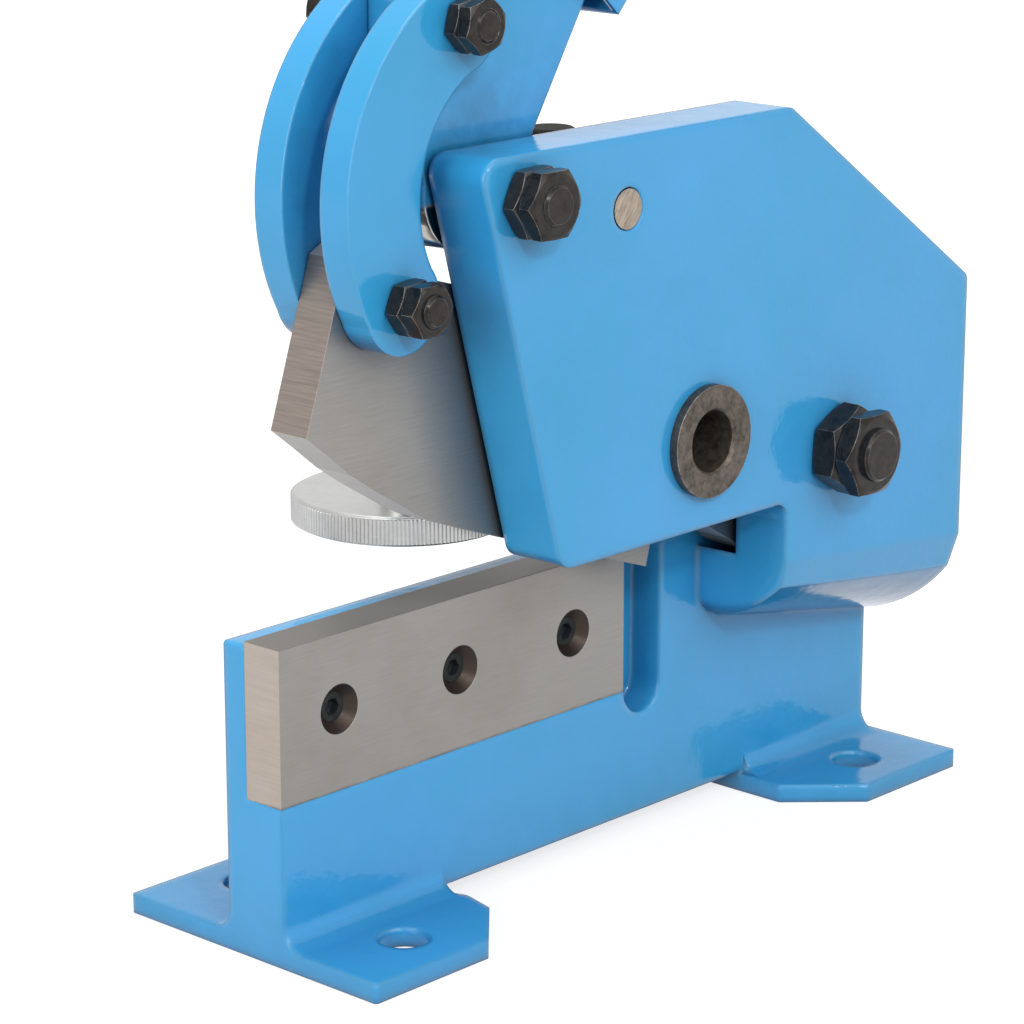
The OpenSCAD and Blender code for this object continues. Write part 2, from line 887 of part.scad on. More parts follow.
module handle_nuts() {
  color(black_steel)
    on_bench()
      on_handle()
        for (l = cross_at)
          translate([0, 0, l])
            rotate([90, 0, 0])
              translate([0, 0, socket_w / 2])
                difference() {
                  hex_body(m6_af, m6_nut_t);
                  translate([0, 0, -over])
                    cylinder(r = cross_r + fixed_gap, h = m6_nut_t + 2 * over);
                }
}

// C-shaped link through both pins, about its own centre.
module link_outline() {
  far = 3 * link_mid_r;
  difference() {
    union() {
      intersection() {
        translate(link_centre)
          difference() {
            circle(link_mid_r + link_half_w);
            circle(link_mid_r - link_half_w);
          }
        polygon([link_centre, link_centre + far * unit2(link_top - link_centre),
          link_centre + far * unit2((link_top + link_low) / 2 - link_centre) * 1.2,
          link_centre + far * unit2(link_low - link_centre)]);
      }
      translate(link_top)
        circle(link_half_w + link_eye);
      translate(link_low)
        circle(link_half_w + link_eye);
    }
    for (p = [link_top, link_low])
      translate(p)
        circle(link_bolt_r + fixed_gap);
  }
}

module link_front() {
  color(paint)
    on_bench()
      upright(link_front_y, link_front_back)
        link_outline();
}

module link_rear() {
  color(paint)
    on_bench()
      upright(link_rear_y, link_rear_y + link_t)
        link_outline();
}

module link_upper_bolt() {
  color(black_steel)
    on_bench()
      bolt_y(link_top, m8_af, m8_head_t, link_upper_turns[0], link_bolt_r,
        link_rear_y + link_t + rear_nuts * rear_nut_pitch,
        link_front_y - 2 * m8_top_nut_t - upper_link_past);
}

module link_upper_rear_nuts() {
  color(black_steel)
    on_bench()
      for (i = [0:rear_nuts - 1])
        nut_y(link_top, m8_af, m8_low_nut_t, link_rear_y + link_t + (i + 1) * rear_nut_pitch - fixed_gap,
          link_upper_turns[0] + (i + 1) * rear_nut_turn, link_bolt_r);
}

module link_upper_nut() {
  color(black_steel)
    on_bench()
      nut_y(link_top, m8_af, m8_top_nut_t, link_front_y, link_upper_turns[1], link_bolt_r);
}

module link_upper_locknut() {
  color(black_steel)
    on_bench()
      nut_y(link_top, m8_af, m8_top_nut_t, link_front_y - m8_top_nut_t, link_upper_turns[2],
        link_bolt_r);
}

module link_lower_bolt() {
  color(black_steel)
    on_bench()
      bolt_y(link_low, m8_af, m8_head_t, link_lower_turns[0], link_bolt_r, link_rear_y + link_t,
        link_front_y - 2 * m8_low_nut_t - lower_link_past);
}

module link_lower_nut() {
  color(black_steel)
    on_bench()
      nut_y(link_low, m8_af, m8_low_nut_t, link_front_y, link_lower_turns[1], link_bolt_r);
}

module link_lower_locknut() {
  color(black_steel)
    on_bench()
      nut_y(link_low, m8_af, m8_low_nut_t, link_front_y - m8_low_nut_t, link_lower_turns[2],
        link_bolt_r);
}

module hold_down_bracket() {
  color(paint)
    on_bench()
      difference() {
        union() {
          translate([strap_x0, 0, rear_top])
            cube([strap_x1 - strap_x0, web_back + strap_t, strap_t]);
          translate([strap_x0, web_back, arm_z0])
            cube([strap_x1 - strap_x0, strap_t, rear_top + strap_t - arm_z0]);
          translate([hold_at[0], web_back, arm_z0])
            cube([strap_x1 - hold_at[0], strap_t, arm_z1 - arm_z0]);
          translate([hold_at[0] - lug_r, web_back, lug_z0])
            cube([2 * lug_r, hold_at[1] - web_back, lug_z1 - lug_z0]);
          translate([hold_at[0], hold_at[1], lug_z0])
            cylinder(r = lug_r, h = lug_z1 - lug_z0);
        }
        translate([hold_at[0], hold_at[1], arm_z0 - over])
          cylinder(r = stud_r + run_gap, h = lug_z1 - arm_z0 + 2 * over);
        translate([strap_bolt_at[0], strap_bolt_at[1], rear_top - over])
          cylinder(r = strap_bolt_r + fixed_gap, h = strap_t + 2 * over);
      }
}

module bracket_bolt() {
  color(black_steel)
    on_bench()
      translate([strap_bolt_at[0], strap_bolt_at[1], rear_top + strap_t])
        union() {
          rotate([0, 0, strap_bolt_turn])
            hex_body(m8_af, strap_bolt_head_t);
          translate([0, 0, strap_bolt_spare - strap_t - strap_bolt_depth])
            cylinder(r = strap_bolt_r, h = strap_bolt_depth + strap_t);
        }
}

module hold_down_locknut() {
  color(black_steel)
    on_bench()
      translate([hold_at[0], hold_at[1], lug_z1])
        difference() {
          hex_body(hold_nut_af, hold_nut_t);
          translate([0, 0, -over])
            cylinder(r = stud_r + run_gap, h = hold_nut_t + 2 * over);
        }
}

module hold_down_stud() {
  color(bright)
    on_bench()
      translate([hold_at[0], hold_at[1], disc_z + disc_t])
        union() {
          cylinder(r = stud_r, h = stud_len - over);
          translate([0, 0, stud_len - over])
            cylinder(r1 = stud_r, r2 = stud_r - over, h = over);
        }
}

module hold_down_disc() {
  tooth_turn = 360 / disc_teeth;
  color(bright)
    on_bench()
      translate([hold_at[0], hold_at[1], disc_z])
        union() {
          cylinder(r1 = disc_root_r - disc_edge, r2 = disc_root_r, h = disc_edge);
          cylinder(r = disc_root_r - disc_edge, h = disc_t);
          translate([0, 0, disc_edge])
            linear_extrude(disc_t - 2 * disc_edge)
              polygon([for (i = [0:disc_teeth - 1]) for (s = [0, 1])
                (disc_r - s * disc_tooth)
                  * [cos((i + s / 2) * tooth_turn), sin((i + s / 2) * tooth_turn)]]);
          translate([0, 0, disc_t - disc_edge])
            cylinder(r1 = disc_root_r, r2 = disc_root_r - disc_edge, h = disc_edge);
        }
}

frame_casting();
lower_blade();
lower_blade_screws();
lower_blade_nuts();
bar_bush();
stop_pin();
blade_pivot_bolt();
blade_pivot_nut();
blade_pivot_locknut();
blade_pivot_washer();
lever_pivot_bolt();
lever_pivot_washer();
lever_pivot_nut();
lever_pivot_locknut();
upper_blade();
blade_pivot_bush();
lever_plate();
lever_pivot_bush();
handle_socket();
socket_welds();
handle_tube();
handle_grip();
handle_end_cap();
handle_bolts();
handle_nuts();
link_front();
link_rear();
link_upper_bolt();
link_upper_rear_nuts();
link_upper_nut();
link_upper_locknut();
link_lower_bolt();
link_lower_nut();
link_lower_locknut();
hold_down_bracket();
bracket_bolt();
hold_down_locknut();
hold_down_stud();
hold_down_disc();
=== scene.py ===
# %% [markdown]
# # Bench lever shear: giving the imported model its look
# The real object is a small hand-worked shear: a painted iron stand, two ground blades, two curved
# links and a long handle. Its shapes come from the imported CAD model, which this script never moves
# or changes. What is left to make is what the eye reads as real: paint, steel, rubber, light and
# camera. Pictures could be laid over the shapes, but node-based finishes need no pictures, have no
# seams, and stay sharp from close by, so every finish here is made of shader nodes.

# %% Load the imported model
import json
import math

import bpy
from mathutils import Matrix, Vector


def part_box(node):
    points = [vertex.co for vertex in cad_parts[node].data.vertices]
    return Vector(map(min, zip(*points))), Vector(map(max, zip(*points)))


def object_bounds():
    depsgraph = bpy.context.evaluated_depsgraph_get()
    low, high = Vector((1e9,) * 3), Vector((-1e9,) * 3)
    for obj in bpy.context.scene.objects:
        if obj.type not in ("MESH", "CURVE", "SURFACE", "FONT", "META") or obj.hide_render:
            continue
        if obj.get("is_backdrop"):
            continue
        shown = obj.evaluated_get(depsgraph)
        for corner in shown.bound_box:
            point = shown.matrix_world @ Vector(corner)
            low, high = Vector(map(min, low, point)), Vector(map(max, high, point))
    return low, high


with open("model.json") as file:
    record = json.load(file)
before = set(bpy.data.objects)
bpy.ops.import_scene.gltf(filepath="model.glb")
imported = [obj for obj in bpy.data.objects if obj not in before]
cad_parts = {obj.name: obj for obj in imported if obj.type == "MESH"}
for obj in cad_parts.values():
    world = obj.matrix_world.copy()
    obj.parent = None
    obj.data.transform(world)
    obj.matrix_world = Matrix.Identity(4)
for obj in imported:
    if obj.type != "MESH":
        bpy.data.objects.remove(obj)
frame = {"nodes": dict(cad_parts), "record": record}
nodes = frame["nodes"]
lo0, hi0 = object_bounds()
scene = bpy.context.scene
scene.view_settings.view_transform = "Standard"
print("pieces loaded:", len(nodes))
print("size in mm:", [round((high - low) * 1000, 1) for low, high in zip(lo0, hi0)])

# %% [markdown]
# ## Building node trees by code
# A material is a tree of nodes joined by links. In the editor it is drawn by hand. Here each tree
# is written down, so it comes out the same on every run, and one recipe can serve many pieces.
# `add` makes a node and fills its inputs by name, and `wire` joins an output to an input.


# %% Helpers: add a node, join two nodes
def fill(node, inputs):
    for key, value in inputs.items():
        node.inputs[key.replace("_", " ")].default_value = value
    return node


def add(tree, kind, settings=None, **inputs):
    node = tree.nodes.new(kind)
    for key, value in (settings or {}).items():
        setattr(node, key, value)
    return fill(node, inputs)


def wire(tree, source, out, target, into):
    tree.links.new(source.outputs[out], target.inputs[into])


print("helpers ready: fill, add, wire")

# %% [markdown]
# ## Small steps that the finishes share
# A mask is a number from 0 to 1 at each point of a surface. Nearly every finish below is a colour
# that is mixed with another one by a mask. `blend_colours` does that mixing, `scaled` takes a start
# off a mask and multiplies the rest, and `combined` joins two masks. Each could be typed out where
# it is used, but as a named step it keeps the recipes short enough to read.


# %% Helpers: blend colours, scale and combine masks
def blend_colours(tree, mask, low, high, how="MIX"):
    mix = add(tree, "ShaderNodeMix", {"data_type": "RGBA", "blend_type": how})
    tree.links.new(mask, mix.inputs["Factor"])
    for socket, colour in (("A", low), ("B", high)):
        if isinstance(colour, tuple):
            mix.inputs[socket].default_value = colour + (1,)
        else:
            tree.links.new(colour, mix.inputs[socket])
    return mix.outputs["Result"]


def scaled(tree, mask, factor, start=0.0):
    out = add(tree, "ShaderNodeMath", {"operation": "MULTIPLY_ADD", "use_clamp": True})
    out.inputs[1].default_value = factor
    out.inputs[2].default_value = -start * factor
    tree.links.new(mask, out.inputs[0])
    return out.outputs[0]


def combined(tree, mask_a, mask_b, how="MULTIPLY"):
    out = add(tree, "ShaderNodeMath", {"operation": how, "use_clamp": True})
    tree.links.new(mask_a, out.inputs[0])
    tree.links.new(mask_b, out.inputs[1])
    return out.outputs[0]


def ramp(tree, start, full, smooth="LINEAR"):
    """A mask that is 0 at start and 1 at full."""
    node = add(tree, "ShaderNodeMapRange", {"interpolation_type": smooth})
    return fill(node, {"From_Min": start, "From_Max": full})


print("helpers ready: blend_colours, scaled, combined, ramp")

# %% [markdown]
# ## Shared groups
# A node group is a small tree with named inputs and outputs. Edge wear or grain could be copied
# into each material, but then every change has to be made many times. A group is built once, and
# each material sets its own values on it. The groups here put out only masks and normals, because
# the export can't read a shader inside a group.


# %% Helpers: make a group, place a group, start a material
def group(name, sockets_in, sockets_out):
    tree = bpy.data.node_groups.new(name, "ShaderNodeTree")
    for label, kind, default in sockets_in:
        sock = tree.interface.new_socket(label, in_out="INPUT", socket_type=kind)
        sock.default_value = default
    for label, kind in sockets_out:
        tree.interface.new_socket(label, in_out="OUTPUT", socket_type=kind)
    return tree, tree.nodes.new("NodeGroupInput"), tree.nodes.new("NodeGroupOutput")


def use(tree, shared, **inputs):
    node = tree.nodes.new("ShaderNodeGroup")
    node.node_tree = shared
    return fill(node, inputs)


def new_material(name):
    mat = bpy.data.materials.new(name)
    mat.use_nodes = True
    tree = mat.node_tree
    tree.nodes.clear()
    out = tree.nodes.new("ShaderNodeOutputMaterial")
    shader = tree.nodes.new("ShaderNodeBsdfPrincipled")
    wire(tree, shader, "BSDF", out, "Surface")
    return mat, tree, shader


print("helpers ready: group, use, new_material")

# %% [markdown]
# ## Soft edges
# A casting has no sharp edge. The sand mould and the thick enamel round each one by a millimetre or
# two, and that thin round is what catches the light. A Bevel modifier could cut it into the mesh,
# but a imported piece's mesh is left alone. So a Bevel node bends only the normals, and the edge
# shines as if it were round. Slow noise through a Bump node adds the low waves of a cast face. The
# second output, Edge, is high where the bent normal leaves the true one, which is where finish
# wears off first; on steel it also places painted glints.


# %% Group: soft edge and waves
EDGE_STARTS, EDGE_FULL = 0.99, 0.78
BEVEL_SAMPLES = 8
SLOW_NOISE = {"Detail": 4.0, "Roughness": 0.6}


def make_soft_edge():
    tree, gin, gout = group(
        "SoftEdge",
        [
            ("Radius", "NodeSocketFloat", 0.001),
            ("Wave Scale", "NodeSocketFloat", 60.0),
            ("Wave Height", "NodeSocketFloat", 0.0),
        ],
        [("Normal", "NodeSocketVector"), ("Edge", "NodeSocketFloat")],
    )
    coord = add(tree, "ShaderNodeTexCoord")
    bevel = add(tree, "ShaderNodeBevel", {"samples": BEVEL_SAMPLES})
    wire(tree, gin, "Radius", bevel, "Radius")
    noise = add(tree, "ShaderNodeTexNoise", **SLOW_NOISE)
    wire(tree, coord, "Object", noise, "Vector")
    wire(tree, gin, "Wave Scale", noise, "Scale")
    bump = add(tree, "ShaderNodeBump", Strength=1.0)
    wire(tree, noise, "Fac", bump, "Height")
    wire(tree, gin, "Wave Height", bump, "Distance")
    wire(tree, bevel, "Normal", bump, "Normal")
    wire(tree, bump, "Normal", gout, "Normal")
    face = add(tree, "ShaderNodeNewGeometry")
    dot = add(tree, "ShaderNodeVectorMath", {"operation": "DOT_PRODUCT"})
    wire(tree, bevel, "Normal", dot, 0)
    wire(tree, face, "True Normal", dot, 1)
    edge = ramp(tree, EDGE_STARTS, EDGE_FULL)
    wire(tree, dot, "Value", edge, "Value")
    wire(tree, edge, "Result", gout, "Edge")
    return tree


SOFT_EDGE = make_soft_edge()
print("group:", SOFT_EDGE.name, len(SOFT_EDGE.nodes), "nodes")

# %% [markdown]
# ## Hollows
# Slots and inside corners get little light, so paint and steel both look deeper there. The lamps
# alone make part of that, and the rest is painted into the colour as shade. It could be painted by
# hand on each corner. Ambient Occlusion finds such places by itself: it asks how much of the sky is
# hidden within a reach. Near and Far give two reaches, one for the crack and one for the whole
# hollow.


# %% Group: hollows, near and far
SKY_SAMPLES = 4


def make_hollow():
    tree, gin, gout = group(
        "Hollow",
        [("Near Reach", "NodeSocketFloat", 0.0015), ("Far Reach", "NodeSocketFloat", 0.04)],
        [("Near", "NodeSocketFloat"), ("Far", "NodeSocketFloat")],
    )
    for label in ("Near", "Far"):
        open_sky = add(tree, "ShaderNodeAmbientOcclusion", {"samples": SKY_SAMPLES})
        wire(tree, gin, label + " Reach", open_sky, "Distance")
        closed = add(tree, "ShaderNodeMath", {"operation": "SUBTRACT", "use_clamp": True})
        closed.inputs[0].default_value = 1.0
        wire(tree, open_sky, "AO", closed, 1)
        wire(tree, closed, "Value", gout, label)
    return tree


HOLLOW = make_hollow()
print("group:", HOLLOW.name, len(HOLLOW.nodes), "nodes")

# %% [markdown]
# ## Patches
# No worked surface has one even tone. Handling, oil and the spray gun leave slow drifts in it. A
# colour ramp over plain noise would do, but its range is wide and mostly grey. A Map Range node
# stretches the middle of the noise, so that the patches reach fully from one tone to the other.


# %% Group: patches
PATCH_STARTS, PATCH_FULL = 0.35, 0.7


def make_patch():
    tree, gin, gout = group(
        "Patch", [("Scale", "NodeSocketFloat", 25.0)], [("Fac", "NodeSocketFloat")]
    )
    coord = add(tree, "ShaderNodeTexCoord")
    noise = add(tree, "ShaderNodeTexNoise", **SLOW_NOISE)
    wire(tree, coord, "Object", noise, "Vector")
    wire(tree, gin, "Scale", noise, "Scale")
    spread = ramp(tree, PATCH_STARTS, PATCH_FULL)
    wire(tree, noise, "Fac", spread, "Value")
    wire(tree, spread, "Result", gout, "Fac")
    return tree


PATCH = make_patch()
print("group:", PATCH.name, len(PATCH.nodes), "nodes")

# %% [markdown]
# ## Grain
# A grinding wheel leaves fine lines that all run one way. Wave textures make lines too, but they
# come out too even. Noise whose coordinates are multiplied more along one axis than the others is
# squeezed into streaks, and no two are alike. One Mapping node turns the pattern, for lines at a
# slant, and a second one squeezes it.


# %% Group: grain
FINE_NOISE = {"Detail": 3.0, "Roughness": 0.7}
NO_TURN = (0.0, 0.0, 0.0)


def make_grain():
    tree, gin, gout = group(
        "Grain",
        [
            ("Stretch", "NodeSocketVector", (1.0, 1.0, 1.0)),
            ("Scale", "NodeSocketFloat", 400.0),
            ("Turn", "NodeSocketVector", NO_TURN),
        ],
        [("Fac", "NodeSocketFloat")],
    )
    coord = add(tree, "ShaderNodeTexCoord")
    swing = add(tree, "ShaderNodeMapping")
    wire(tree, coord, "Object", swing, "Vector")
    wire(tree, gin, "Turn", swing, "Rotation")
    squeeze = add(tree, "ShaderNodeMapping")
    wire(tree, swing, "Vector", squeeze, "Vector")
    wire(tree, gin, "Stretch", squeeze, "Scale")
    noise = add(tree, "ShaderNodeTexNoise", **FINE_NOISE)
    wire(tree, squeeze, "Vector", noise, "Vector")
    wire(tree, gin, "Scale", noise, "Scale")
    wire(tree, noise, "Fac", gout, "Fac")
    return tree


GRAIN = make_grain()
print("group:", GRAIN.name, len(GRAIN.nodes), "nodes")

# %% [markdown]
# ## Which way a face looks
# Undersides of the paint get painted shade. The faces of a blade that look up and down get a
# painted highlight on the moving blade and painted shade on the fixed one, and a blade's ends are
# ground another way than its sides. Such faces could be picked one by one, but a mask made from the
# surface's normal finds them by itself. The normal is given in the world's directions, and the mask
# would slide when a piece turns on its hinge, so it is first turned into the piece's own directions.
# Upper and Under are the two ways of Z, while Ends and Level take both ways of X and of Z. Start and
# Slope say how squarely a face has to look that way.


# %% Group: which way a face looks
def make_facing():
    tree, gin, gout = group(
        "Facing",
        [("Slope", "NodeSocketFloat", 6.0), ("Start", "NodeSocketFloat", 0.75)],
        [(label, "NodeSocketFloat") for label in ("Ends", "Level", "Upper", "Under")],
    )
    face = add(tree, "ShaderNodeNewGeometry")
    own = add(tree, "ShaderNodeVectorTransform", {"vector_type": "NORMAL", "convert_to": "OBJECT"})
    wire(tree, face, "True Normal", own, "Vector")
    part = add(tree, "ShaderNodeSeparateXYZ")
    wire(tree, own, "Vector", part, "Vector")
    looks = {}
    for label, axis in (("Ends", "X"), ("Level", "Z")):
        looks[label] = add(tree, "ShaderNodeMath", {"operation": "ABSOLUTE"})
        wire(tree, part, axis, looks[label], 0)
    for label, sign in (("Upper", 1.0), ("Under", -1.0)):
        looks[label] = add(tree, "ShaderNodeMath", {"operation": "MULTIPLY"})
        looks[label].inputs[1].default_value = sign
        wire(tree, part, "Z", looks[label], 0)
    for label, look in looks.items():
        past = add(tree, "ShaderNodeMath", {"operation": "SUBTRACT"})
        wire(tree, look, "Value", past, 0)
        wire(tree, gin, "Start", past, 1)
        steep = add(tree, "ShaderNodeMath", {"operation": "MULTIPLY", "use_clamp": True})
        wire(tree, past, "Value", steep, 0)
        wire(tree, gin, "Slope", steep, 1)
        wire(tree, steep, "Value", gout, label)
    return tree


FACING = make_facing()
print("group:", FACING.name, len(FACING.nodes), "nodes")

# %% [markdown]
# ## How high a point is
# The tops of the feet are made darker, and oil creeps out of the joint under the fixed blade. Each
# lies at a height of its own. They could be painted by hand, but Object coordinates already give the
# height of each point, in metres and in the piece's own directions, so a ramp on Z is enough.


# %% Group: how high a point is
def make_height():
    tree, gin, gout = group(
        "Height",
        [("Start", "NodeSocketFloat", 0.0), ("Full", "NodeSocketFloat", 0.01)],
        [("Mask", "NodeSocketFloat")],
    )
    coord = add(tree, "ShaderNodeTexCoord")
    part = add(tree, "ShaderNodeSeparateXYZ")
    wire(tree, coord, "Object", part, "Vector")
    level = add(tree, "ShaderNodeMapRange")
    wire(tree, part, "Z", level, "Value")
    wire(tree, gin, "Start", level, "From Min")
    wire(tree, gin, "Full", level, "From Max")
    wire(tree, level, "Result", gout, "Mask")
    return tree


HEIGHT = make_height()
print("group:", HEIGHT.name, len(HEIGHT.nodes), "nodes")

# %% [markdown]
# ## A spot rubbed bare
# Beside its pivot, low on the left, the lever's head has been rubbed through to the steel. The spot
# could be a small piece laid on top, but it has no thickness. A Distance node measures how far each
# point of the surface is from the middle of the spot, and a smooth ramp turns that into a mask. The
# place is measured from the pivot's bush, so it follows the model if the model changes.


# %% Helper and measure: the rubbed spot
SPOT_CORE = 0.75


def near_point(tree, centre, reach):
    coord = add(tree, "ShaderNodeTexCoord")
    away = add(tree, "ShaderNodeVectorMath", {"operation": "DISTANCE"})
    away.inputs[1].default_value = centre
    wire(tree, coord, "Object", away, 0)
    fall = ramp(tree, reach, reach * SPOT_CORE, "SMOOTHSTEP")
    wire(tree, away, "Value", fall, "Value")
    return fall.outputs["Result"]


head_lo, head_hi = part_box("lever_pivot_bush")
head_x, head_z = (head_lo[0] + head_hi[0]) / 2, (head_lo[2] + head_hi[2]) / 2
RUBBED_LEFT, RUBBED_DOWN, RUBBED_REACH = 0.0125, 0.0075, 0.0065
RUBBED = ((head_x - RUBBED_LEFT, head_lo[1], head_z - RUBBED_DOWN), RUBBED_REACH)
print("rubbed spot, metres:", [round(value, 4) for value in RUBBED[0]])

# %% [markdown]
# ## Paint
# The stand, links, lever and bracket wear one thick sky-blue enamel. It is glossy, drifts a little
# in tone, and thins to a paler blue on some edges. In corners and underneath it gets painted shade,
# a deep blue. A clear coat over a base colour is one way to make enamel. A plain glossy base is
# chosen, because its tone and shine then stay apart and are easy to match. Colours are written as
# linear values, which is what the sockets take. A share says how much of a mask is used, and a start
# says where it begins.

# %% Paint: colours and amounts
BLUE = (0.058, 0.400, 0.800)
BLUE_COOL = (0.036, 0.375, 0.690)
# BLUE_DEEP is painted shade for hollows and undersides, and also darkens the tops of the feet.
BLUE_DEEP = (0.004, 0.105, 0.270)
BLUE_WORN = (0.30, 0.60, 0.84)
# Smudges that show only in hollows: partly dirt, partly painted shade.
SMUDGE_SHADE = (0.010, 0.075, 0.150)
BARE_STEEL = (0.42, 0.40, 0.37)
DRIFT_SCALE, SMUDGE_SCALE, WAVE_SCALE = 14.0, 70.0, 90.0
# Reaches and shares of hollows, corners and undersides set how much painted shade is laid on.
PAINT_CORNER, PAINT_HOLLOW = 0.005, 0.028
WORN_SHARE, UNDER_SHARE = 0.35, 0.7
HOLLOW_SHARE, HOLLOW_START = 0.38, 0.10
CORNER_SHARE, CORNER_START = 0.7, 0.15
BLOT_SHARE, BLOT_START = 3.0, 0.02
FOOT_SHARE, FOOT_TOP, FOOT_CLEAR = 0.25, 0.014, 0.022
WAY_SLOPE, WAY_START = 3.0, 0.42
PAINT_ROUGHNESS, PAINT_SPECULAR = 0.12, 0.45
print("paint reaches, mm:", PAINT_CORNER * 1000, PAINT_HOLLOW * 1000)

# %% [markdown]
# ## Paint: from the whole to the small
# A real coat gets its look in this order: the colour, then years of light, rubbing and dirt. Shade
# is painted in as well. Mixing all of it in one step would be hard to tune. Each line below lays one
# thing over the last: slow drift, worn edges, then one dark mask summed from hollows and undersides,
# which is painted shade, and from the tops of the feet, and last dark smudges that show only in
# hollows, partly dirt and partly painted shade.


# %% Paint: the tone of the enamel
def paint_tone(tree, edge, hollow, mottle):
    patch = use(tree, PATCH, Scale=DRIFT_SCALE)
    tone = blend_colours(tree, patch.outputs["Fac"], BLUE, BLUE_COOL)
    worn = combined(tree, scaled(tree, edge.outputs["Edge"], WORN_SHARE), patch.outputs["Fac"])
    tone = blend_colours(tree, worn, tone, BLUE_WORN)
    # Painted shade: hollows, corners and undersides turn deep blue; the tops of the feet darken too.
    wide = scaled(tree, hollow.outputs["Far"], HOLLOW_SHARE, HOLLOW_START)
    close = scaled(tree, hollow.outputs["Near"], CORNER_SHARE, CORNER_START)
    ways = use(tree, FACING, Slope=WAY_SLOPE, Start=WAY_START)
    under = scaled(tree, ways.outputs["Under"], UNDER_SHARE)
    low = use(tree, HEIGHT, Start=FOOT_CLEAR, Full=FOOT_TOP)
    feet = combined(tree, ways.outputs["Upper"], low.outputs["Mask"])
    dark = combined(tree, combined(tree, wide, close, "ADD"), under, "ADD")
    dark = combined(tree, dark, scaled(tree, feet, FOOT_SHARE), "ADD")
    tone = blend_colours(tree, dark, tone, BLUE_DEEP)
    # Dark smudges, only where hollows are: partly dirt and partly painted shade.
    smudge = use(tree, PATCH, Scale=SMUDGE_SCALE)
    shade_in_hollows = scaled(tree, hollow.outputs["Far"], BLOT_SHARE, BLOT_START)
    smudge_and_shade = combined(tree, scaled(tree, smudge.outputs["Fac"], mottle), shade_in_hollows)
    return blend_colours(tree, smudge_and_shade, tone, SMUDGE_SHADE)


print("helper ready: paint_tone")

# %% [markdown]
# ## Paint: the material
# The tone alone is flat. The material joins it to the gloss of the enamel and to the soft edges and
# waves of the surface under it. Roughness could vary with smudges. Here it is the same all over,
# as on well-kept enamel, and is set on the shader itself. Where the spot is rubbed bare, its mask
# also turns the surface to metal.


# %% Paint: the recipe
def make_paint(name, radius, wave, mottle, bare=None):
    mat, tree, shader = new_material(name)
    hollow = use(tree, HOLLOW, Near_Reach=PAINT_CORNER, Far_Reach=PAINT_HOLLOW)
    edge = use(tree, SOFT_EDGE, Radius=radius, Wave_Scale=WAVE_SCALE, Wave_Height=wave)
    tone = paint_tone(tree, edge, hollow, mottle)
    if bare:
        spot = near_point(tree, *bare)
        tone = blend_colours(tree, spot, tone, BARE_STEEL)
        tree.links.new(spot, shader.inputs["Metallic"])
    tree.links.new(tone, shader.inputs["Base Color"])
    fill(shader, {"Roughness": PAINT_ROUGHNESS, "Specular_IOR_Level": PAINT_SPECULAR})
    wire(tree, edge, "Normal", shader, "Normal")
    return mat


print("helper ready: make_paint")

# %% [markdown]
# ## The three painted finishes
# The stand is a rough casting with wide rounds and clear waves. The links and the socket are cut
# from plate, so they are flatter, with smaller rounds. The lever is plate too, but it is handled
# most, so it has more smudges, partly dirt and partly painted shade, and the bare spot. They could
# be three recipes, but one recipe with three sets of values keeps them one paint.

# %% Paint: cast, plate and lever
PAINT_CAST = make_paint("PaintBlueCast", radius=0.0028, wave=0.00028, mottle=0.12)
PAINT_FINE = make_paint("PaintBlueFine", radius=0.0012, wave=0.00010, mottle=0.25)
PAINT_LEVER = make_paint("PaintBlueLever", radius=0.0010, wave=0.00008, mottle=0.6, bare=RUBBED)
print("paints:", [mat.name for mat in (PAINT_CAST, PAINT_FINE, PAINT_LEVER)])

# %% [markdown]
# ## Steel: colours
# Bare steel shows what has happened to it: old oil in holes, brownish stains where it was handled,
# and bright metal where it is rubbed, which also stands in for painted glints. Gaps get a cold
# painted shade. These colours could be chosen for each material again. One set for all keeps the
# parts looking as if they had aged together.

# %% Steel: colours and amounts
# SHADE_BLUE is painted shade for the blades, tinted blue as a painted reflection of the paint
# nearby.
SHADE_BLUE = (0.03, 0.065, 0.10)
OIL_BROWN = (0.040, 0.026, 0.019)
# Painted shade for the gaps of the other steels.
GAP_SHADE_TONE = (0.03, 0.04, 0.05)
STAIN_TONE = (0.72, 0.66, 0.58)
# Bright metal of rubbed edges, which also stands in for painted glints.
RUBBED_GLINT_TONE = (0.50, 0.47, 0.43)
STAIN_SCALE, STAIN_START = 22.0, 0.3
LINES_SLOPE, LINES_START = 2.5, 0.3
GAP_SHARE, GAP_START = 1.3, 0.05
WORN_START = 0.1
print("old oil, linear colour:", OIL_BROWN)

# %% [markdown]
# ## Steel: lines, stains, rubbed edges and gaps
# Every bare metal here has lines, stains and painted shade in its gaps, and some have rubbed edges
# too. Lines come from the grain, as two tones close to each other. Stains multiply the tone, as a
# thin film does. Rubbed edges mix in bright metal, but only where the lines are light, so that they
# break up; they are partly painted glints. Gaps mix in a deep tone as painted shade. All could be
# typed into the recipe, but each is easier to read by itself.


# %% Helpers: the four steps of every steel
def two_tones(tree, lines, colour, contrast):
    dark = tuple(c * (1 - contrast) for c in colour)
    light = tuple(min(1, c * (1 + contrast)) for c in colour)
    return blend_colours(tree, lines, dark, light)


def stained(tree, tone, amount):
    patch = use(tree, PATCH, Scale=STAIN_SCALE)
    stains = scaled(tree, patch.outputs["Fac"], amount, STAIN_START)
    return blend_colours(tree, stains, tone, STAIN_TONE, "MULTIPLY")


def rubbed_edges_and_glints(tree, tone, edge, lines, worn):
    # Rubbed bright edges: partly real wear, partly painted glints.
    rubbed = combined(tree, scaled(tree, edge.outputs["Edge"], worn, WORN_START), lines)
    return blend_colours(tree, rubbed, tone, RUBBED_GLINT_TONE)


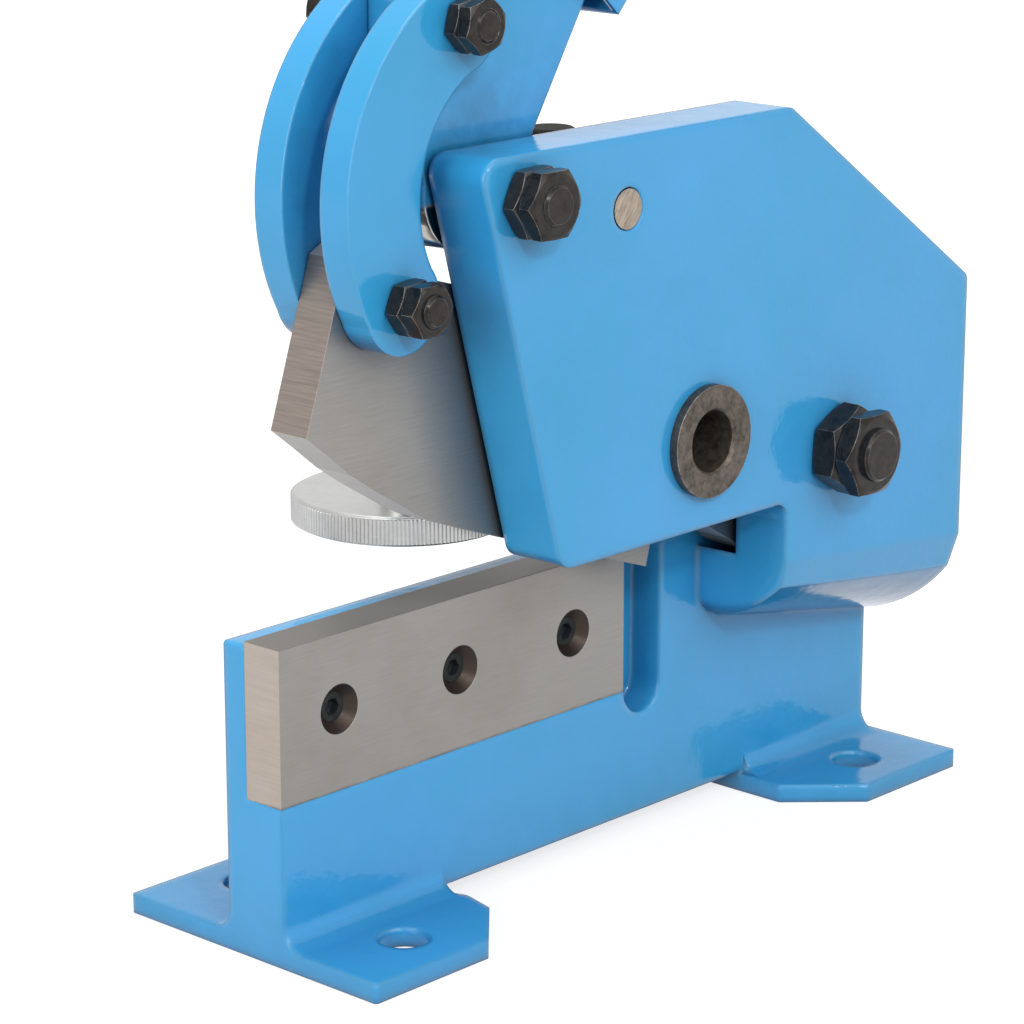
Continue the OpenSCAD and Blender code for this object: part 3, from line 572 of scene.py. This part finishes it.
def gap_shade_over(tree, tone, hollow, deep):
    # Painted shade: gaps and hollows turn to the deep tone.
    gap = scaled(tree, hollow.outputs["Far"], GAP_SHARE, GAP_START)
    return blend_colours(tree, gap, tone, deep)


print("helpers ready: two_tones, stained, rubbed_edges_and_glints, gap_shade_over")

# %% [markdown]
# ## Steel: ends and seam of a blade
# A blade's ends are ground across, and oil creeps out where the fixed blade sits on the casting.
# Each could be a material of its own on some faces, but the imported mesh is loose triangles, and
# picking faces by hand breaks when the model changes. So each is a mask laid over the tone: the
# ends by the way a face looks, and the seam by height.

# %% Helpers: ends and seam
END_STRETCH, END_SCALE = (1.0, 1.0, 30.0), 60.0
END_SLOPE, END_START = 3.0, 0.35
SEAM_SPOTS, SEAM_SHARE = 150.0, 0.8


def ends_over(tree, tone, light, depth):
    across = use(tree, GRAIN, Stretch=END_STRETCH, Scale=END_SCALE)
    lines = scaled(tree, across.outputs["Fac"], END_SLOPE, END_START)
    dark = tuple(c * (1 - depth) for c in light)
    streaks = blend_colours(tree, lines, dark, light)
    return blend_colours(tree, use(tree, FACING).outputs["Ends"], tone, streaks)


def seam_over(tree, tone, level, reach):
    spots = use(tree, PATCH, Scale=SEAM_SPOTS)
    low = use(tree, HEIGHT, Start=level + reach, Full=level)
    crept = combined(tree, low.outputs["Mask"], spots.outputs["Fac"])
    return blend_colours(tree, scaled(tree, crept, SEAM_SHARE), tone, OIL_BROWN)


print("helpers ready: ends_over, seam_over")

# %% [markdown]
# ## Steel: old oil in the countersinks
# The screws of the fixed blade sit in deep countersinks, and the walls of these are brown with old
# oil. A ring of faces could be given its own material, with the same trouble as above. Instead the
# depth is taken off each point, so that only its place on the blade's side is left. A Distance node
# for each screw then says how near it is, and the nearest one decides.


# %% Helper: countersinks
def holes_over(tree, tone, xs, z, radius):
    coord = add(tree, "ShaderNodeTexCoord")
    flat = add(tree, "ShaderNodeVectorMath", {"operation": "MULTIPLY"})
    flat.inputs[1].default_value = (1, 0, 1)
    wire(tree, coord, "Object", flat, 0)
    nearest = None
    for x in xs:
        away = add(tree, "ShaderNodeVectorMath", {"operation": "DISTANCE"})
        away.inputs[1].default_value = (x, 0, z)
        wire(tree, flat, "Vector", away, 0)
        far = away.outputs["Value"]
        nearest = far if nearest is None else combined(tree, nearest, far, "MINIMUM")
    inside = add(tree, "ShaderNodeMath", {"operation": "LESS_THAN"})
    inside.inputs[1].default_value = radius
    tree.links.new(nearest, inside.inputs[0])
    return blend_colours(tree, inside.outputs[0], tone, OIL_BROWN)


print("helper ready: holes_over")

# %% [markdown]
# ## Steel: one recipe for every bare metal
# Ground blades, blackened bolts, the worn bush, bright pins and zinc washers differ in tone, shine
# and lines, but they are built alike. Nine separate materials would drift apart as they are tuned.
# So one function makes them all from the steps above. The grain also feeds a faint bump, which
# breaks up the shine as real lines do.

# %% Steel: the recipe
LINE_STRENGTH, LINE_HEIGHT = 0.25, 0.0001


def make_steel(name, colour, rough=0.4, metal=0.7, stretch=(1.0, 1.0, 1.0), scale=300.0,
               contrast=0.1, turn=NO_TURN, radius=0.0003, worn=0.0, stain=0.35, deep=GAP_SHADE_TONE,
               reach=0.004, gloss=0.5, ends=None, top=None, holes=None, seam=None):
    mat, tree, shader = new_material(name)
    grain = use(tree, GRAIN, Stretch=stretch, Scale=scale, Turn=turn)
    edge = use(tree, SOFT_EDGE, Radius=radius)
    hollow = use(tree, HOLLOW, Far_Reach=reach)
    lines = scaled(tree, grain.outputs["Fac"], LINES_SLOPE, LINES_START)
    tone = two_tones(tree, lines, colour, contrast)
    if ends:
        tone = ends_over(tree, tone, *ends)
    tone = stained(tree, tone, stain)
    if worn:
        tone = rubbed_edges_and_glints(tree, tone, edge, lines, worn)
    tone = gap_shade_over(tree, tone, hollow, deep)
    # top is a painted tone on faces that look up and down: highlight on the moving blade, shade on
    # the fixed one.
    if top:
        tone = blend_colours(tree, use(tree, FACING).outputs["Level"], tone, top)
    if seam:
        tone = seam_over(tree, tone, *seam)
    if holes:
        tone = holes_over(tree, tone, *holes)
    tree.links.new(tone, shader.inputs["Base Color"])
    fill(shader, {"Metallic": metal, "Roughness": rough, "Specular_IOR_Level": gloss})
    bump = add(tree, "ShaderNodeBump", Strength=LINE_STRENGTH, Distance=LINE_HEIGHT)
    wire(tree, grain, "Fac", bump, "Height")
    wire(tree, edge, "Normal", bump, "Normal")
    wire(tree, bump, "Normal", shader, "Normal")
    return mat


print("steel line height, mm:", LINE_HEIGHT * 1000)

# %% [markdown]
# ## The ground blades
# Both blades are tool steel, ground along their length and lightly oiled, and the fixed one has oil
# in its countersinks and along its foot. The lines on the long sides come from noise squeezed along
# Z. The places of the screws and of the foot could be typed in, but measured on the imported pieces
# they follow the model when it changes.

# %% Steel: the blades' tone, lines and places
BLADE_TONE = (0.315, 0.298, 0.276)
BLADE_LINES = {"stretch": (1.0, 1.0, 24.0), "scale": 90.0}
screw_lo, screw_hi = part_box("lower_blade_screws")
screw_head_r = (screw_hi[2] - screw_lo[2]) / 2
screw_z = (screw_hi[2] + screw_lo[2]) / 2
first_x, last_x = screw_lo[0] + screw_head_r, screw_hi[0] - screw_head_r
SINK_R, SEAM_REACH = 0.0063, 0.0008
SINKS = ([first_x, (first_x + last_x) / 2, last_x], screw_z, SINK_R)
SEAM = (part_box("lower_blade")[0][2], SEAM_REACH)
print("screw centres, metres:", [round(x, 4) for x in SINKS[0]], "height", round(screw_z, 4))

# %% [markdown]
# ## The ground blades: the two finishes
# The moving blade has brownish, streaked ends, and a painted highlight on the faces that look up and
# down. The fixed one has pale, smooth ends, and painted shade on those faces. They could share one
# finish, but then one of them would always look wrong. So each has its own tones: the light tone of
# its ends with the depth of their lines, and the painted tone of its top.

# %% Steel: moving blade and fixed blade
# The tops' tones are painted: a highlight on the moving blade, shade on the fixed one.
UPPER_ENDS, UPPER_TOP_HIGHLIGHT = ((0.325, 0.272, 0.238), 0.28), (0.55, 0.50, 0.47)
LOWER_ENDS, LOWER_TOP_SHADE = ((0.47, 0.405, 0.355), 0.10), (0.17, 0.158, 0.142)
# The moving blade's wide reach paints shade and a blue painted reflection on it near the cheek.
UPPER = make_steel(
    "GroundSteelUpper", BLADE_TONE, rough=0.40, metal=0.6, contrast=0.07, deep=SHADE_BLUE,
    reach=0.022, ends=UPPER_ENDS, top=UPPER_TOP_HIGHLIGHT, **BLADE_LINES)
LOWER = make_steel(
    "GroundSteelLower", BLADE_TONE, rough=0.42, metal=0.6, contrast=0.05, deep=SHADE_BLUE,
    reach=0.008, stain=0.45, ends=LOWER_ENDS, top=LOWER_TOP_SHADE, holes=SINKS, seam=SEAM, **BLADE_LINES)
print("steels:", [mat.name for mat in (UPPER, LOWER)])

# %% [markdown]
# ## Blackened bolts and screws
# The bolts and nuts are blackened and oiled, and their corners are rubbed bright by spanners. The
# bright corners are partly painted glints. The bracket's bolt and the sunk screws are dull, with old
# oil on them. A plain dark grey would do from afar. Speckle with a strong contrast and rubbed
# corners are what make them read as steel.

# %% Steel: black, dull and oiled
# worn sets the rubbed edges, which are partly painted glints.
BLACK = make_steel(
    "BlackSteel", (0.020, 0.016, 0.013), rough=0.24, metal=0.25, contrast=0.7, radius=0.0004,
    worn=1.8, gloss=0.3)
DULL = make_steel(
    "DullBlackSteel", (0.022, 0.020, 0.016), rough=0.65, metal=0.0, scale=900.0, contrast=0.7,
    radius=0.0004, gloss=0.1)
SCREW = make_steel(
    "OiledScrew", (0.024, 0.028, 0.025), rough=0.6, metal=0.0, contrast=0.5, gloss=0.12)
print("steels:", [mat.name for mat in (BLACK, DULL, SCREW)])

# %% [markdown]
# ## Worn, bright and plated metal
# The bush of the bar cutter is dark and speckled from use. The cut face of the stop pin shows
# slanted file lines, made by turning the grain. Turned steel and zinc are nearly plain, because
# their look comes from what they mirror, so a faint grain and low roughness are all they need. One
# grey steel could serve for all four, but side by side the eye tells them apart.

# %% Steel: worn, satin, pin and zinc
PIN_TURN = (0.0, math.radians(55), 0.0)
WORN = make_steel(
    "WornSteel", (0.096, 0.079, 0.063), rough=0.42, metal=0.5, scale=420.0, contrast=0.6,
    radius=0.0005, worn=1.0)
SATIN = make_steel("SatinSteel", (0.54, 0.54, 0.53), rough=0.28, metal=0.9, contrast=0.06)
PIN = make_steel(
    "PinFace", (0.38, 0.32, 0.255), rough=0.45, metal=0.6, stretch=(1.0, 1.0, 9.0), scale=260.0,
    contrast=0.4, turn=PIN_TURN, radius=0.0002)
ZINC = make_steel("ZincPlate", (0.72, 0.73, 0.74), rough=0.22, metal=1.0, contrast=0.05)
print("steels:", [mat.name for mat in (WORN, SATIN, PIN, ZINC)])

# %% [markdown]
# ## Rubber
# The photograph is cut off below the grip, so its finish is the usual one: black moulded rubber,
# matt, with a fine pebble that takes the shine off. A flat black would look like a hole in the
# picture. A little fine noise in the tone and in the bump is enough, because rubber has no lines
# and little wear.

# %% Rubber: the recipe
RUBBER_DARK, RUBBER_LIGHT = (0.017, 0.017, 0.019), (0.028, 0.028, 0.030)
RUBBER_ROUND, RUBBER_ROUGHNESS = 0.0008, 0.6
PEBBLE_SCALE, PEBBLE_HEIGHT = 900.0, 0.00008


def make_rubber():
    mat, tree, shader = new_material("RubberBlack")
    edge = use(tree, SOFT_EDGE, Radius=RUBBER_ROUND, Wave_Scale=PEBBLE_SCALE,
               Wave_Height=PEBBLE_HEIGHT)
    pebble = use(tree, PATCH, Scale=PEBBLE_SCALE)
    tone = blend_colours(tree, pebble.outputs["Fac"], RUBBER_DARK, RUBBER_LIGHT)
    tree.links.new(tone, shader.inputs["Base Color"])
    fill(shader, {"Roughness": RUBBER_ROUGHNESS})
    wire(tree, edge, "Normal", shader, "Normal")
    return mat


RUBBER = make_rubber()
print("rubber:", RUBBER.name)

# %% [markdown]
# ## Dressing the pieces
# Each piece of the record names a material slot, such as black steel, and most pieces take the
# finish of their slot. A few look different on the real object and are named one by one. Each could
# be given its finish by hand in the editor, but that is lost when the model is loaded anew. Going
# by slot first means that a piece added later is never left bare.

# %% Dressing: by slot, then by name
BY_SLOT = {
    "paint_blue": PAINT_CAST,
    "ground_steel": UPPER,
    "black_steel": BLACK,
    "worn_steel": WORN,
    "bright_steel": SATIN,
    "zinc": ZINC,
    "rubber_black": RUBBER,
}
BY_NAME = {
    "stop_pin": PIN,
    "lower_blade": LOWER,
    "lower_blade_screws": SCREW,
    "bracket_bolt": DULL,
    "link_front": PAINT_FINE,
    "link_rear": PAINT_FINE,
    "lever_plate": PAINT_LEVER,
    "handle_socket": PAINT_FINE,
}
slot_of = {part["node"]: part["material_slot"] for part in frame["record"]["subparts"]}
for name, obj in nodes.items():
    obj.data.materials.clear()
    obj.data.materials.append(BY_NAME.get(name) or BY_SLOT[slot_of[name]])
print("dressed:", len(nodes), "pieces,", len(BY_NAME), "of them by name")

# %% [markdown]
# ## White by the ray's kind
# The photograph's ground is plain white, with no horizon. Here it is white too, but a soft shadow
# is kept, so that the machine doesn't float. A floor lit until it is white would also light the
# object from below and wash that shadow out. So the camera, and what mirrors or is clear, sees
# white by the ray's kind, while the light that reaches the object stays soft.


# %% Helper: what the camera and mirrors see
def seen_white(tree):
    path = add(tree, "ShaderNodeLightPath")
    total = path.outputs["Is Camera Ray"]
    for ray in ("Is Glossy Ray", "Is Transmission Ray"):
        total = combined(tree, total, path.outputs[ray], "ADD")
    return total


print("helper ready: seen_white")

# %% [markdown]
# ## Floor: its glow
# Near the machine the floor glows a little less than white, and the lamps add the rest. Farther out
# the lamps reach it less, and an even glow would leave the floor's far edge in sight from other
# sides. So the glow rises with the distance from the middle, until it is full white.

# %% Helper: the floor's glow
FLOOR_GLOW, SHADOW_REACH, WHITE_REACH = 0.74, 0.45, 1.3


def floor_glow(tree):
    coord = add(tree, "ShaderNodeTexCoord")
    away = add(tree, "ShaderNodeVectorMath", {"operation": "LENGTH"})
    wire(tree, coord, "Object", away, 0)
    level = fill(ramp(tree, SHADOW_REACH, WHITE_REACH), {"To_Min": FLOOR_GLOW, "To_Max": 1.0})
    wire(tree, away, "Value", level, "Value")
    return combined(tree, seen_white(tree), level.outputs["Result"])


print("helper ready: floor_glow")

# %% [markdown]
# ## Floor
# The object stands on a pale floor, which has to be white and still hold its shadow. A Shadow
# Catcher would need the picture to be put together afterwards. Here two shaders are added up: the
# glow makes the floor white, and a grey diffuse part takes the shadow. The floor lies a hair below
# zero, so that it never shares a level with the soles of the feet.

# %% Floor: a plane with two shaders
FLOOR_SIZE, FLOOR_DROP, FLOOR_GREY = 6.0, 0.0002, 0.44


def make_floor():
    bpy.ops.mesh.primitive_plane_add(size=FLOOR_SIZE, location=(0, 0, -FLOOR_DROP))
    floor = bpy.context.object
    floor.name = "floor"
    mat = bpy.data.materials.new("FloorPale")
    mat.use_nodes = True
    tree = mat.node_tree
    tree.nodes.clear()
    out = add(tree, "ShaderNodeOutputMaterial")
    diffuse = add(tree, "ShaderNodeBsdfDiffuse", Color=(FLOOR_GREY, FLOOR_GREY, FLOOR_GREY, 1))
    glow = add(tree, "ShaderNodeEmission", Color=(1, 1, 1, 1))
    tree.links.new(floor_glow(tree), glow.inputs["Strength"])
    both = add(tree, "ShaderNodeAddShader")
    tree.links.new(diffuse.outputs[0], both.inputs[0])
    tree.links.new(glow.outputs[0], both.inputs[1])
    tree.links.new(both.outputs[0], out.inputs["Surface"])
    floor.data.materials.append(mat)
    floor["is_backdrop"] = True
    return floor


FLOOR = make_floor()
print("floor, metres:", list(FLOOR.dimensions))

# %% [markdown]
# ## World
# Around the object lies a soft bluish-white room light, which fills the shadows. A picture of a
# studio is a common choice for that, but a plain colour gives no stray shapes in the paint. Its
# level is below 1 for the light that it throws, and 1 where the camera or a mirror looks at it.

# %% World
SKY_TONE = (0.93, 0.95, 1.0)
SKY_LEVEL = 0.46


def make_world():
    world = bpy.data.worlds.new("Studio")
    scene.world = world
    world.use_nodes = True
    tree = world.node_tree
    tree.nodes.clear()
    out = add(tree, "ShaderNodeOutputWorld")
    back = add(tree, "ShaderNodeBackground")
    white = seen_white(tree)
    tree.links.new(blend_colours(tree, white, SKY_TONE, (1.0, 1.0, 1.0)), back.inputs["Color"])
    level = fill(add(tree, "ShaderNodeMapRange"), {"To_Min": SKY_LEVEL, "To_Max": 1.0})
    tree.links.new(white, level.inputs["Value"])
    tree.links.new(level.outputs["Result"], back.inputs["Strength"])
    tree.links.new(back.outputs[0], out.inputs["Surface"])
    return world


WORLD = make_world()
print("world:", WORLD.name, "light level", SKY_LEVEL)

# %% [markdown]
# ## Lamps
# The photograph looks as if it was lit by large soft boxes, with something small and bright that
# puts thin glints on the rounded edges. A sun lamp would give hard shadows, which it doesn't have.
# Three wide area lamps, above, in front and on the left, give the soft light, and a small one gives
# the glints. Each line below gives a lamp's name, place, target, size and watts.


# %% Lamps: helpers, then four lamps
def aim(obj, target):
    direction = obj.location - target
    obj.rotation_mode = "QUATERNION"
    obj.rotation_quaternion = direction.to_track_quat("Z", "Y")


def area(name, at, target, size, watts):
    data = bpy.data.lights.new(name, "AREA")
    data.shape = "RECTANGLE"
    data.size, data.size_y = size
    data.energy = watts
    obj = bpy.data.objects.new(name, data)
    scene.collection.objects.link(obj)
    obj.location = at
    aim(obj, Vector(target))
    return obj


LAMPS = [
    area("top", (0.1, 0.25, 1.5), (0, 0, 0.1), (1.2, 1.0), 10.0),
    area("front", (-0.1, -1.45, 1.1), (0, 0, 0.12), (1.2, 0.9), 9.5),
    area("left", (-1.6, -0.2, 0.6), (0, 0, 0.12), (0.8, 1.0), 10.0),
    area("key", (-0.8, -1.35, 1.05), (0, 0, 0.14), (0.14, 0.14), 6.0),
]
print("lamps, watts:", {lamp.name: lamp.data.energy for lamp in LAMPS})

# %% [markdown]
# ## Camera
# The camera has to stand where the one of the photograph did, or no edge will line up. It could be
# moved by eye. Here its place, turn and lens were fitted to the photograph, by the parallel edges,
# the feet and the blade. It looks 15 degrees down, from the left front, through a long lens, which
# keeps parallel edges nearly parallel.

# %% Camera
CAMERA_AT = (-0.66035, -0.5904, 0.3302)
LOOKS_DOWN, LOOKS_RIGHT = 15.18, 47.25
LENS_MM, SENSOR_MM = 123.05, 36.0
NEAREST, FARTHEST = 0.01, 20
cam_data = bpy.data.cameras.new("camera")
cam_data.sensor_width = SENSOR_MM
cam_data.lens = LENS_MM
cam_data.clip_start, cam_data.clip_end = NEAREST, FARTHEST
cam = bpy.data.objects.new("camera", cam_data)
scene.collection.objects.link(cam)
cam.location = CAMERA_AT
cam.rotation_euler = (math.radians(90 - LOOKS_DOWN), 0, math.radians(-LOOKS_RIGHT))
scene.camera = cam
print("camera lens, mm:", LENS_MM, "distance, m:", round(cam.location.length, 3))

# %% [markdown]
# ## Measure and finish
# A look must never change a size. The box of the whole machine was kept before the dressing, and is
# measured again here, so that the two can be compared. The last line prints the largest change.

# %% Sizes before and after, then finish
lo1, hi1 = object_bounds()
changes = [abs(a - b) * 1000 for a, b in zip([*lo0, *hi0], [*lo1, *hi1])]
print("largest change in mm:", max(changes))
